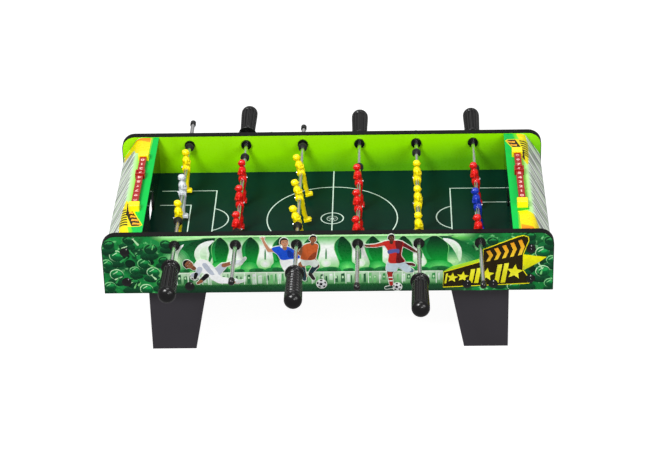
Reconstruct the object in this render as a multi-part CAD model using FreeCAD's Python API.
"""Tabletop foosball table with six playing rods, in millimetres, +Z up.

The origin is the middle of the table in plan, on the surface that its feet stand on.
+X runs along the table towards the right-hand goal, and +Y from the front apron to the rear one.
Every node is one STEP file; identical small pieces share a node as separate solids.
"""

import FreeCAD
import Part

import math
import os

Vector = FreeCAD.Vector
AXIS_X = Vector(1, 0, 0)
AXIS_Y = Vector(0, 1, 0)
AXIS_Z = Vector(0, 0, 1)

# Aprons: the two long printed side boards, with a black edge band round their top and ends.
TABLE_LENGTH = 690.0
TABLE_DEPTH = 342.0
APRON_THICKNESS = 12.0
APRON_BOTTOM = 109.0
APRON_TOP = 210.3
APRON_CORNER_RADIUS = 22.0
EDGE_BAND = 1.0

# Playfield board, let into a groove in each apron.
FIELD_TOP = 142.3
FIELD_THICKNESS = 5.0
GROOVE_DEPTH = 4.0

# Goal walls, measured from the table's end to their playing face.
GOAL_WALL_INSET = 61.0
GOAL_WALL_THICKNESS = 4.0
GOAL_WIDTH = 66.0
GOAL_HEIGHT = 38.0
GOAL_CORNER_RADIUS = 8.0

# Hoods: bent sheets that cover the space behind each goal wall. Distances are from the table's end.
HOOD_SHEET = 3.0
HOOD_BELOW_APRON_TOP = 1.5
HOOD_LIP = 1.0
HOOD_TOP_WIDTH = 34.0
HOOD_SETBACK = 1.5
HOOD_SLOPE_DROP = 38.8
HOOD_BEND_RADIUS = 14.0
HOOD_ABOVE_APRON_BOTTOM = 3.0
CHEEK_THICKNESS = 12.0

# Legs: four flat boards inside the aprons. Distances are from the table's end.
LEG_THICKNESS = 12.0
LEG_OUTER_EDGE = 67.0
LEG_FOOT_WIDTH = 68.5
LEG_INNER_SLOPE = 21.5 / 109.0
LEG_BELOW_FIELD = 1.3

# Bolts through the aprons, with round black caps outside and hexagon nuts inside.
BOLT_DIAMETER = 6.0
BOLT_CAP_DIAMETER = 14.4
BOLT_CAP_HEIGHT = 4.2
BOLT_CAP_DOME = 2.2
BOLT_TAIL = 1.5
NUT_ACROSS_FLATS = 10.0
NUT_THICKNESS = 5.0
LEG_BOLT_INSETS = (92.0, 132.0)
LEG_BOLT_ABOVE_APRON_BOTTOM = 12.5
END_BOLT_INSET = 35.3
END_BOLT_ABOVE_APRON_BOTTOM = (21.0, 74.0)

# Rods and the two-part bushes that they run in.
ROD_DIAMETER = 6.4
ROD_BELOW_APRON_TOP = 16.4
OUTER_ROD_INSET = 112.25
ROD_RUNNING_CLEARANCE = 0.05
BUSH_FLANGE_DIAMETER = 17.0
BUSH_FLANGE_THICKNESS = 3.0
BUSH_SLEEVE_DIAMETER = 11.0

# Loose rubber rings between the players and the bushes.
RING_DIAMETER = 14.4
RING_THICKNESS = 4.0
RING_GAP = 0.4

# Handles and the caps on the other ends of the rods.
HANDLE_LENGTH = 88.0
HANDLE_FLANGE_DIAMETER = 29.0
HANDLE_FLANGE_THICKNESS = 3.5
HANDLE_BARREL_DIAMETER = 27.0
HANDLE_NECK_DIAMETER = 21.0
HANDLE_NECK_LENGTH = 5.0
HANDLE_SHOULDER = 7.0
HANDLE_DOME = 2.4
HANDLE_FLUTE_COUNT = 18
HANDLE_FLUTE_RADIUS = 1.3
HANDLE_FLUTE_LENGTH = 56.0
HANDLE_BORE_DEPTH = 45.0
CAP_DIAMETER = 9.4
CAP_LENGTH = 11.0
CAP_DOME = 2.6
CAP_BORE_DEPTH = 8.0
STOP_GAP = 1.0

# Players, measured from the rod's axis.
FIGURE_SPACING = 84.7
HUB_LENGTH = 13.0
HUB_DIAMETER = 13.0
HEAD_DIAMETER = 11.0
HEAD_HEIGHT = 26.7
SOLE_DEPTH = 44.5
SCREW_SHANK_DIAMETER = 2.6
SCREW_HEAD_DIAMETER = 5.0
SCREW_HEAD_HEIGHT = 1.8
SCREW_REACH = 4.5

# Score counters on the hoods.
SCORE_INSET = 44.0
SCORE_COUNT = 10
SCORE_PITCH = 14.7
SCORE_BAR_WIDTH = 10.5
SCORE_BAR_HEIGHT = 5.6
SCORE_BAR_LIFT = 2.4
SCORE_NOTCH = 0.8
SCORE_TENON = 3.0
SCORE_END_ROOM = 3.0
SCORE_POST_LENGTH = 15.0
SCORE_POST_WIDTH = 17.0
SCORE_POST_HEIGHT = 11.0
SLIDER_LENGTH = 15.0
SLIDER_WIDTH = 15.0
SLIDER_WALL = 1.5
SLIDER_CLEARANCE = 0.3
SLIDER_PLACE = 3

# One entry per rod from left to right.
# side: -1 puts the handle at the front; facing: +1 players kick towards +X;
# shift: where the players stand, as a share of their travel; tilt: degrees about the rod;
# ring: how far along its free space the far ring lies; keeper: the middle player has its own colour.
RODS = (
    {"side": -1, "facing": 1, "shift": -0.05, "tilt": -0.7, "ring": 0.95, "keeper": True},
    {"side": 1, "facing": -1, "shift": -0.68, "tilt": 1.4, "ring": 0.60, "keeper": False},
    {"side": -1, "facing": 1, "shift": -0.38, "tilt": 13.9, "ring": 0.92, "keeper": False},
    {"side": 1, "facing": -1, "shift": -0.98, "tilt": 6.2, "ring": 0.34, "keeper": False},
    {"side": -1, "facing": 1, "shift": -0.81, "tilt": 0.9, "ring": 0.72, "keeper": False},
    {"side": 1, "facing": -1, "shift": -0.95, "tilt": 9.4, "ring": 0.26, "keeper": True},
)

# Sizes that follow from the ones above.
HALF_LENGTH = TABLE_LENGTH / 2
HALF_DEPTH = TABLE_DEPTH / 2
INNER_HALF = HALF_DEPTH - APRON_THICKNESS
ROD_HEIGHT = APRON_TOP - ROD_BELOW_APRON_TOP
ROD_PITCH = (TABLE_LENGTH - 2 * OUTER_ROD_INSET) / (len(RODS) - 1)
ROD_RADIUS = ROD_DIAMETER / 2
RUNNING_RADIUS = ROD_RADIUS + ROD_RUNNING_CLEARANCE
OUTER_FACE = FIGURE_SPACING + HUB_LENGTH / 2
TRAVEL = INNER_HALF - BUSH_FLANGE_THICKNESS - RING_THICKNESS - 2 * RING_GAP - OUTER_FACE
ROD_REACH = HALF_DEPTH + BUSH_FLANGE_THICKNESS + STOP_GAP + TRAVEL
FIELD_END_INSET = GOAL_WALL_INSET - GOAL_WALL_THICKNESS
HOOD_TOP = APRON_TOP - HOOD_BELOW_APRON_TOP
HOOD_EDGE_INSET = GOAL_WALL_INSET + HOOD_LIP
HOOD_BOTTOM = APRON_BOTTOM + HOOD_ABOVE_APRON_BOTTOM
LEG_TOP = FIELD_TOP - FIELD_THICKNESS - LEG_BELOW_FIELD
SCORE_BAR_BOTTOM = HOOD_TOP + SCORE_BAR_LIFT
SCORE_BAR_TOP = SCORE_BAR_BOTTOM + SCORE_BAR_HEIGHT
SCORE_POST_FACE = SCORE_COUNT * SCORE_PITCH / 2 + SCORE_END_ROOM


def box(x_range, y_range, z_range):
    """An axis-aligned box from three (low, high) pairs given in either order."""
    lows = [min(pair) for pair in (x_range, y_range, z_range)]
    highs = [max(pair) for pair in (x_range, y_range, z_range)]
    sizes = [high - low for low, high in zip(lows, highs)]
    return Part.makeBox(*sizes, Vector(*lows))


def cylinder_y(diameter, x, y_range, z):
    low, high = min(y_range), max(y_range)
    return Part.makeCylinder(diameter / 2, high - low, Vector(x, low, z), AXIS_Y)


def union(shapes):
    return shapes[0].multiFuse(shapes[1:]).removeSplitter()


def export(node, shape):
    shape.exportStep(f"parts/{node}.step")


def rounded_path(points, radius):
    """Edges of an open (x, z) polyline in the XZ plane, with every inner corner rounded to the radius."""
    corners = [Vector(x, 0, z) for x, z in points]
    edges = []
    start = corners[0]
    for before, corner, after in zip(corners, corners[1:], corners[2:]):
        to_before = (before - corner).normalize()
        to_after = (after - corner).normalize()
        half_angle = to_before.getAngle(to_after) / 2
        setback = radius / math.tan(half_angle)
        bisector = (to_before + to_after).normalize()
        middle = corner + bisector * (radius / math.sin(half_angle) - radius)
        arc_start = corner + to_before * setback
        arc_end = corner + to_after * setback
        edges.append(Part.LineSegment(start, arc_start).toShape())
        edges.append(Part.Arc(arc_start, middle, arc_end).toShape())
        start = arc_end
    edges.append(Part.LineSegment(start, corners[-1]).toShape())
    return edges


def revolved(points, arcs):
    """A solid of revolution about +Y from (y, radius) points; arcs maps an index to its middle point."""
    corners = [Vector(radius, y, 0) for y, radius in points]
    edges = []
    for i, (start, end) in enumerate(zip(corners, corners[1:])):
        if i in arcs:
            y, radius = arcs[i]
            edges.append(Part.Arc(start, Vector(radius, y, 0), end).toShape())
        else:
            edges.append(Part.makeLine(start, end))
    edges.append(Part.makeLine(corners[-1], corners[0]))
    return Part.Face(Part.Wire(edges)).revolve(Vector(), AXIS_Y, 360)


def dome_middle(start, radius, rise):
    """The middle point of a spherical cap's arc, for a cap of this rim radius and rise along +Y."""
    sphere = (radius ** 2 + rise ** 2) / (2 * rise)
    angle = math.asin(radius / sphere) / 2
    return start + rise - sphere * (1 - math.cos(angle)), sphere * math.sin(angle)


def mirrored_end(shape, side):
    """A shape built for the right-hand end, turned half round the table's middle for the left-hand one."""
    if side > 0:
        return shape
    turned = shape.copy()
    turned.rotate(Vector(), AXIS_Z, 180)
    return turned


# Aprons


def apron_board(side, band):
    """One apron's outline as a solid, drawn in by the edge band on its top and ends."""
    half = HALF_LENGTH - band
    top = APRON_TOP - band
    outline = [(-half, APRON_BOTTOM), (-half, top), (half, top), (half, APRON_BOTTOM)]
    edges = rounded_path(outline, APRON_CORNER_RADIUS - band)
    edges.append(Part.makeLine(Vector(half, 0, APRON_BOTTOM), Vector(-half, 0, APRON_BOTTOM)))
    board = Part.Face(Part.Wire(edges)).extrude(Vector(0, APRON_THICKNESS, 0))
    board.translate(Vector(0, INNER_HALF if side > 0 else -HALF_DEPTH, 0))
    return board


def edge_band(side):
    return apron_board(side, 0).cut(apron_board(side, EDGE_BAND))


def apron(side, bolts):
    """The board with its groove for the playfield and its holes for the bushes and bolts."""
    board = apron_board(side, EDGE_BAND)
    tools = [playfield()] + bolts
    tools += [bush_sleeve(x, side) for x in rod_places()]
    return board.cut(tools)


def playfield():
    half_length = HALF_LENGTH - FIELD_END_INSET
    half_width = INNER_HALF + GROOVE_DEPTH
    heights = (FIELD_TOP - FIELD_THICKNESS, FIELD_TOP)
    return box((-half_length, half_length), (-half_width, half_width), heights)


# Ends


def goal_wall():
    """The right-hand goal wall, with its round-topped mouth on the playfield."""
    outer_x = HALF_LENGTH - FIELD_END_INSET
    inner_x = HALF_LENGTH - GOAL_WALL_INSET
    wall = box((inner_x, outer_x), (-INNER_HALF, INNER_HALF), (FIELD_TOP, HOOD_TOP - HOOD_SHEET))
    half = GOAL_WIDTH / 2
    top = FIELD_TOP + GOAL_HEIGHT
    below = FIELD_TOP - 1
    mouth_edges = rounded_path([(-half, below), (-half, top), (half, top), (half, below)], GOAL_CORNER_RADIUS)
    mouth_edges.append(Part.makeLine(Vector(half, 0, below), Vector(-half, 0, below)))
    mouth = Part.Face(Part.Wire(mouth_edges)).extrude(Vector(0, -3 * GOAL_WALL_THICKNESS, 0))
    mouth.rotate(Vector(), AXIS_Z, 90)
    mouth.translate(Vector(inner_x - GOAL_WALL_THICKNESS, 0, 0))
    return wall.cut(mouth)


def hood_path(inset, start_inset):
    """The right-hand hood's section from its inner edge outwards and down, drawn in by an inset."""
    slope_run = HOOD_EDGE_INSET - HOOD_TOP_WIDTH - HOOD_SETBACK
    slope = math.atan2(HOOD_SLOPE_DROP, slope_run)
    top = HOOD_TOP - inset
    outer = HALF_LENGTH - HOOD_SETBACK - inset
    upper_x = HALF_LENGTH - HOOD_SETBACK - slope_run - inset * math.tan(slope / 2)
    lower_z = HOOD_TOP - HOOD_SLOPE_DROP - inset * math.tan(math.pi / 4 - slope / 2)
    points = [(HALF_LENGTH - start_inset, top), (upper_x, top), (outer, lower_z), (outer, HOOD_BOTTOM)]
    return points, rounded_path(points, HOOD_BEND_RADIUS - inset)


def hood():
    """The right-hand hood sheet, between the aprons."""
    outer_points, outer_edges = hood_path(0, HOOD_EDGE_INSET)
    inner_points, inner_edges = hood_path(HOOD_SHEET, HOOD_EDGE_INSET)
    ends = [
        Part.makeLine(Vector(outer_points[i][0], 0, outer_points[i][1]), Vector(inner_points[i][0], 0, inner_points[i][1]))
        for i in (0, -1)
    ]
    wire = Part.Wire(Part.__sortEdges__(outer_edges + inner_edges + ends))
    sheet = Part.Face(wire).extrude(Vector(0, 2 * INNER_HALF, 0))
    sheet.translate(Vector(0, -INNER_HALF, 0))
    return sheet


def cheek(y_side, bolts):
    """The board under one side of the right-hand hood, which the end bolts pull against the apron."""
    points, edges = hood_path(HOOD_SHEET, FIELD_END_INSET)
    corner = Vector(points[0][0], 0, HOOD_BOTTOM)
    edges.append(Part.makeLine(Vector(points[-1][0], 0, HOOD_BOTTOM), corner))
    edges.append(Part.makeLine(corner, Vector(points[0][0], 0, points[0][1])))
    board = Part.Face(Part.Wire(edges)).extrude(Vector(0, CHEEK_THICKNESS, 0))
    board.translate(Vector(0, INNER_HALF - CHEEK_THICKNESS if y_side > 0 else -INNER_HALF, 0))
    return board.cut(bolts)


# Legs


def leg(x_side, y_side, bolts):
    """A board with an upright outer edge, narrowing from its top to its foot."""
    outer = HALF_LENGTH - LEG_OUTER_EDGE
    foot_inner = outer - LEG_FOOT_WIDTH
    top_inner = foot_inner - LEG_TOP * LEG_INNER_SLOPE
    outline = [(outer, 0), (outer, LEG_TOP), (top_inner, LEG_TOP), (foot_inner, 0), (outer, 0)]
    wire = Part.makePolygon([Vector(x_side * x, 0, z) for x, z in outline])
    board = Part.Face(wire).extrude(Vector(0, LEG_THICKNESS, 0))
    board.translate(Vector(0, INNER_HALF - LEG_THICKNESS if y_side > 0 else -INNER_HALF, 0))
    return board.cut(bolts)


# Bolts


def bolt_places(x_side):
    """(x, z, thickness of the inner board) of the bolts at one end of an apron."""
    places = [
        (x_side * (HALF_LENGTH - inset), APRON_BOTTOM + LEG_BOLT_ABOVE_APRON_BOTTOM, LEG_THICKNESS)
        for inset in LEG_BOLT_INSETS
    ]
    for height in END_BOLT_ABOVE_APRON_BOTTOM:
        places.append((x_side * (HALF_LENGTH - END_BOLT_INSET), APRON_BOTTOM + height, CHEEK_THICKNESS))
    return places


def bolt(x, z, inner_thickness, y_side):
    """A bolt with a domed cap on the apron's outer face."""
    tail = -(APRON_THICKNESS + inner_thickness + NUT_THICKNESS + BOLT_TAIL)
    shank = BOLT_DIAMETER / 2
    cap = BOLT_CAP_DIAMETER / 2
    rim = BOLT_CAP_HEIGHT - BOLT_CAP_DOME
    points = [(tail, 0), (tail, shank), (0, shank), (0, cap), (rim, cap), (BOLT_CAP_HEIGHT, 0)]
    solid = revolved(points, {4: dome_middle(rim, cap, BOLT_CAP_DOME)})
    if y_side < 0:
        solid.rotate(Vector(), AXIS_Z, 180)
    solid.translate(Vector(x, y_side * HALF_DEPTH, z))
    return solid


def nut(x, z, inner_thickness, y_side, bolt_solid):
    """The hexagon nut against the inner board."""
    radius = NUT_ACROSS_FLATS / math.sqrt(3)
    corners = [
        Vector(x + radius * math.cos(math.radians(60 * i)), 0, z + radius * math.sin(math.radians(60 * i)))
        for i in range(7)
    ]
    solid = Part.Face(Part.makePolygon(corners)).extrude(Vector(0, NUT_THICKNESS, 0))
    face = INNER_HALF - inner_thickness
    solid.translate(Vector(0, face - NUT_THICKNESS if y_side > 0 else -face, 0))
    return solid.cut(bolt_solid)


# Rods and what is on them


def rod_places():
    first = -HALF_LENGTH + OUTER_ROD_INSET
    return [first + ROD_PITCH * i for i in range(len(RODS))]


def bush_sleeve(x, side):
    """The sleeve's full section through one apron, with no bore."""
    inner_end = side * (INNER_HALF - BUSH_FLANGE_THICKNESS)
    return cylinder_y(BUSH_SLEEVE_DIAMETER, x, (side * HALF_DEPTH, inner_end), ROD_HEIGHT)


def bush(x, side):
    """The flanged bush and the ring nut that holds it from inside the apron."""
    outer = (side * HALF_DEPTH, side * (HALF_DEPTH + BUSH_FLANGE_THICKNESS))
    inner = (side * INNER_HALF, side * (INNER_HALF - BUSH_FLANGE_THICKNESS))
    bore = cylinder_y(2 * RUNNING_RADIUS, x, (0, side * 2 * HALF_DEPTH), ROD_HEIGHT)
    sleeve = bush_sleeve(x, side)
    flange = cylinder_y(BUSH_FLANGE_DIAMETER, x, outer, ROD_HEIGHT)
    ring_nut = cylinder_y(BUSH_FLANGE_DIAMETER, x, inner, ROD_HEIGHT).cut(sleeve)
    return [union([sleeve, flange]).cut(bore), ring_nut]


def rod(x, centre, side, screws):
    """The plain steel rod, from inside the handle to inside the cap, with a cross hole per player."""
    handle_end = centre + side * (ROD_REACH + HANDLE_BORE_DEPTH)
    cap_end = centre - side * (ROD_REACH + CAP_BORE_DEPTH)
    return cylinder_y(ROD_DIAMETER, x, (handle_end, cap_end), ROD_HEIGHT).cut(screws)


def placed_on_rod(solid, x, centre, side):
    """A piece built outwards along +Y, moved to one end of a rod."""
    if side < 0:
        solid.rotate(Vector(), AXIS_Z, 180)
    solid.translate(Vector(x, centre + side * ROD_REACH, ROD_HEIGHT))
    return solid


def handle(x, centre, side):
    """A grip with a flange, a waisted neck, a fluted barrel and a domed end."""
    flange = HANDLE_FLANGE_DIAMETER / 2
    barrel = HANDLE_BARREL_DIAMETER / 2
    neck_end = HANDLE_FLANGE_THICKNESS + HANDLE_NECK_LENGTH
    shoulder = HANDLE_LENGTH - HANDLE_DOME - HANDLE_SHOULDER
    diagonal = HANDLE_SHOULDER * math.sqrt(0.5)
    dome_radius = barrel - HANDLE_SHOULDER
    points = [
        (0, 0), (0, flange), (HANDLE_FLANGE_THICKNESS, flange), (neck_end, barrel),
        (shoulder, barrel), (shoulder + HANDLE_SHOULDER, dome_radius), (HANDLE_LENGTH, 0),
    ]
    arcs = {
        2: (HANDLE_FLANGE_THICKNESS + 0.55 * HANDLE_NECK_LENGTH, HANDLE_NECK_DIAMETER / 2),
        4: (shoulder + diagonal, dome_radius + diagonal),
        5: dome_middle(shoulder + HANDLE_SHOULDER, dome_radius, HANDLE_DOME),
    }
    body = revolved(points, arcs)
    flute_start = neck_end + HANDLE_FLUTE_RADIUS
    cuts = [cylinder_y(ROD_DIAMETER, 0, (-1, HANDLE_BORE_DEPTH), 0)]
    for i in range(HANDLE_FLUTE_COUNT):
        angle = 2 * math.pi * i / HANDLE_FLUTE_COUNT
        offset = barrel + 0.35 * HANDLE_FLUTE_RADIUS
        place = Vector(offset * math.cos(angle), flute_start, offset * math.sin(angle))
        cuts.append(Part.makeCylinder(HANDLE_FLUTE_RADIUS, HANDLE_FLUTE_LENGTH, place, AXIS_Y))
        cuts.append(Part.makeSphere(HANDLE_FLUTE_RADIUS, place + AXIS_Y * HANDLE_FLUTE_LENGTH))
    return placed_on_rod(body.cut(cuts), x, centre, side)


def end_cap(x, centre, side):
    """The small round-nosed cap on the rod's plain end."""
    radius = CAP_DIAMETER / 2
    nose = CAP_LENGTH - CAP_DOME
    body = revolved([(0, 0), (0, radius), (nose, radius), (CAP_LENGTH, 0)], {2: dome_middle(nose, radius, CAP_DOME)})
    body = body.cut(cylinder_y(ROD_DIAMETER, 0, (-1, CAP_BORE_DEPTH), 0))
    return placed_on_rod(body, x, centre, -side)


def ring(x, y):
    half = RING_THICKNESS / 2
    outside = cylinder_y(RING_DIAMETER, x, (y - half, y + half), ROD_HEIGHT)
    return outside.cut(cylinder_y(2 * RUNNING_RADIUS, x, (y - half - 1, y + half + 1), ROD_HEIGHT))


def ring_places(centre, shift, share):
    """Middles of the near ring, against the first player, and of the far ring, loose in its space."""
    reach = OUTER_FACE + RING_GAP + RING_THICKNESS / 2
    return centre - reach, centre + reach + share * TRAVEL * (1 - shift)


# Players, built standing on the rod's axis at the origin, facing +X, with the rod along Y


def oval(height, depth, width, forward=0.0):
    """A closed oval section at one height: depth along X, width along Y."""
    major, minor = max(depth, width) / 2, min(depth, width) / 2
    ellipse = Part.Ellipse(Vector(forward, 0, height), major, minor)
    if width > depth:
        ellipse.rotate(FreeCAD.Placement(Vector(forward, 0, height), FreeCAD.Rotation(AXIS_Z, 90)))
    return Part.Wire([ellipse.toShape()])


def player_body():
    """Head, trunk, arms, legs and one block foot, as one moulding with the rod's bore through it."""
    head = Part.makeSphere(HEAD_DIAMETER / 2, Vector(0.3, 0, HEAD_HEIGHT))
    neck = Part.makeCylinder(2.6, 6.0, Vector(0, 0, HEAD_HEIGHT - 9.0), AXIS_Z)
    trunk = Part.makeLoft(
        [oval(-7, 10.5, 12), oval(1, 12, 12.4), oval(8.5, 11.5, 12.4), oval(15, 12.5, 17), oval(19.5, 8, 13.5)], True, True
    )
    hub = cylinder_y(HUB_DIAMETER, 0, (-HUB_LENGTH / 2, HUB_LENGTH / 2), 0)
    legs = Part.makeLoft(
        [oval(-4, 11, 12), oval(-15, 9.5, 12), oval(-27, 8, 11), oval(6 - SOLE_DEPTH, 8.5, 11)], True, True
    )
    foot = box((-4.5, 8.0), (-5.5, 5.5), (-SOLE_DEPTH, 6.5 - SOLE_DEPTH))
    foot = foot.makeFillet(1.6, [edge for edge in foot.Edges if edge.BoundBox.ZMax > 1 - SOLE_DEPTH])
    pieces = [head, neck, trunk, hub, legs, foot]
    for side in (-1, 1):
        pieces += arm(side)
    body = union(pieces)
    return body.cut(cylinder_y(ROD_DIAMETER, 0, (-HUB_LENGTH, HUB_LENGTH), 0))


def arm(side):
    """Upper arm down from the shoulder, forearm in across the belly."""
    shoulder = Vector(0, side * 7.0, 17.0)
    elbow = Vector(0.6, side * 8.0, 11.2)
    hand = Vector(6.0, side * 3.6, 8.8)
    pieces = [Part.makeSphere(2.2, point) for point in (shoulder, elbow, hand)]
    for start, end in ((shoulder, elbow), (elbow, hand)):
        pieces.append(Part.makeCylinder(2.2, (end - start).Length, start, end - start))
    return pieces


def player_screw():
    """The screw that pins a player to the rod, driven from its back."""
    seat = -HUB_DIAMETER / 2
    head = Part.makeCylinder(SCREW_HEAD_DIAMETER / 2, SCREW_HEAD_HEIGHT, Vector(seat - 1.2, 0, 0), AXIS_X)
    shank = Part.makeCylinder(SCREW_SHANK_DIAMETER / 2, SCREW_REACH - seat, Vector(seat, 0, 0), AXIS_X)
    return union([head, shank])


def set_on_rod(shape, x, y, facing, tilt):
    """A player or screw turned to face its goal, tilted about the rod and moved to its place."""
    placed = shape.copy()
    if facing < 0:
        placed.rotate(Vector(), AXIS_Z, 180)
    placed.rotate(Vector(), AXIS_Y, -tilt)
    placed.translate(Vector(x, y, ROD_HEIGHT))
    return placed


def build_rod(number, x, spec, body, screw):
    """Every piece on one rod."""
    centre = spec["shift"] * TRAVEL
    places = [centre + FIGURE_SPACING * i for i in (-1, 0, 1)]
    screws = [set_on_rod(screw, x, y, spec["facing"], spec["tilt"]) for y in places]
    players = [set_on_rod(body, x, y, spec["facing"], spec["tilt"]).cut(screws) for y in places]
    if spec["keeper"]:
        export(f"keeper_{number}", players.pop(1))
    export(f"players_{number}", Part.Compound(players))
    export(f"player_screws_{number}", Part.Compound(screws))
    export(f"rod_{number}", rod(x, centre, spec["side"], screws))
    export(f"handle_{number}", handle(x, centre, spec["side"]))
    export(f"end_cap_{number}", end_cap(x, centre, spec["side"]))
    near, far = ring_places(centre, spec["shift"], spec["ring"])
    export(f"near_ring_{number}", ring(x, near))
    export(f"far_ring_{number}", ring(x, far))


# Score counters, built for the right-hand end


def score_bar():
    """The numbered bar, notched between its places, with a plain tenon at each end."""
    x = HALF_LENGTH - SCORE_INSET
    half = SCORE_POST_FACE + SCORE_TENON
    width = (x - SCORE_BAR_WIDTH / 2, x + SCORE_BAR_WIDTH / 2)
    bar = box(width, (-half, half), (SCORE_BAR_BOTTOM, SCORE_BAR_TOP))
    notches = []
    for i in range(SCORE_COUNT + 1):
        y = (i - SCORE_COUNT / 2) * SCORE_PITCH
        depths = (SCORE_BAR_TOP - SCORE_NOTCH, SCORE_BAR_TOP + 1)
        notches.append(box(width, (y - SCORE_NOTCH / 2, y + SCORE_NOTCH / 2), depths))
    return bar.cut(notches)


def score_post(y_side, bar):
    x = HALF_LENGTH - SCORE_INSET
    reach = SCORE_POST_FACE + SCORE_POST_LENGTH
    width = (x - SCORE_POST_WIDTH / 2, x + SCORE_POST_WIDTH / 2)
    block = box(width, (y_side * SCORE_POST_FACE, y_side * reach), (HOOD_TOP, HOOD_TOP + SCORE_POST_HEIGHT))
    block = block.makeFillet(1.5, [edge for edge in block.Edges if edge.BoundBox.ZMin > HOOD_TOP - 1e-6
                                   and edge.BoundBox.ZMax > HOOD_TOP + 1])
    return block.cut(bar)


def score_slider(y):
    """The loop that slides on the bar and frames one number."""
    x = HALF_LENGTH - SCORE_INSET
    half = SLIDER_LENGTH / 2
    room = SCORE_BAR_WIDTH / 2 + SLIDER_CLEARANCE
    low, high = SCORE_BAR_BOTTOM - SLIDER_CLEARANCE, SCORE_BAR_TOP + SLIDER_CLEARANCE
    outside = box(
        (x - SLIDER_WIDTH / 2, x + SLIDER_WIDTH / 2), (y - half, y + half), (low - SLIDER_WALL, high + SLIDER_WALL)
    )
    slot = box((x - room, x + room), (y - half - 1, y + half + 1), (low, high))
    window = box((x - room, x + room), (y - half + 3, y + half - 3), (low, high + SLIDER_WALL + 1))
    return outside.cut([slot, window])


def build_structure():
    """Everything that doesn't move."""
    bolts = {(end, side): [bolt(*place, side) for place in bolt_places(end)] for end in (-1, 1) for side in (-1, 1)}
    nuts = [
        nut(*place, side, solid)
        for (end, side), solids in bolts.items()
        for place, solid in zip(bolt_places(end), solids)
    ]
    for name, side in (("front_apron", -1), ("rear_apron", 1)):
        export(name, apron(side, bolts[-1, side] + bolts[1, side]))
    export("edge_bands", Part.Compound([edge_band(-1), edge_band(1)]))
    export("playfield", playfield())
    export("legs", Part.Compound([leg(end, side, bolts[end, side]) for end, side in bolts]))
    export("apron_bolts", Part.Compound([solid for solids in bolts.values() for solid in solids] + nuts))
    export("rod_bushes", Part.Compound([piece for x in rod_places() for side in (-1, 1) for piece in bush(x, side)]))
    cheeks = []
    for name, end in (("left", -1), ("right", 1)):
        export(f"{name}_goal_wall", mirrored_end(goal_wall(), end))
        export(f"{name}_hood", mirrored_end(hood(), end))
        cheeks += [mirrored_end(cheek(side, bolts_at_end(bolts, end, side)), end) for side in (-1, 1)]
    export("hood_cheeks", Part.Compound(cheeks))


def bolts_at_end(bolts, end, side):
    """The bolts beside one cheek of the right-hand hood, before that hood is turned to its own end."""
    turned = []
    for solid in bolts[end, end * side]:
        turned.append(mirrored_end(solid, end))
    return turned


def build_score_counters():
    bar = score_bar()
    posts = [score_post(side, bar) for side in (-1, 1)]
    slider_y = ((SCORE_COUNT - 1) / 2 - SLIDER_PLACE) * SCORE_PITCH
    export("score_bars", Part.Compound([mirrored_end(bar, end) for end in (-1, 1)]))
    export("score_posts", Part.Compound([mirrored_end(post, end) for end in (-1, 1) for post in posts]))
    export("left_score_slider", mirrored_end(score_slider(-slider_y), -1))
    export("right_score_slider", score_slider(slider_y))


def main():
    os.makedirs("parts", exist_ok=True)
    build_structure()
    build_score_counters()
    body = player_body()
    screw = player_screw()
    for number, (x, spec) in enumerate(zip(rod_places(), RODS), 1):
        build_rod(number, x, spec, body, screw)


main()
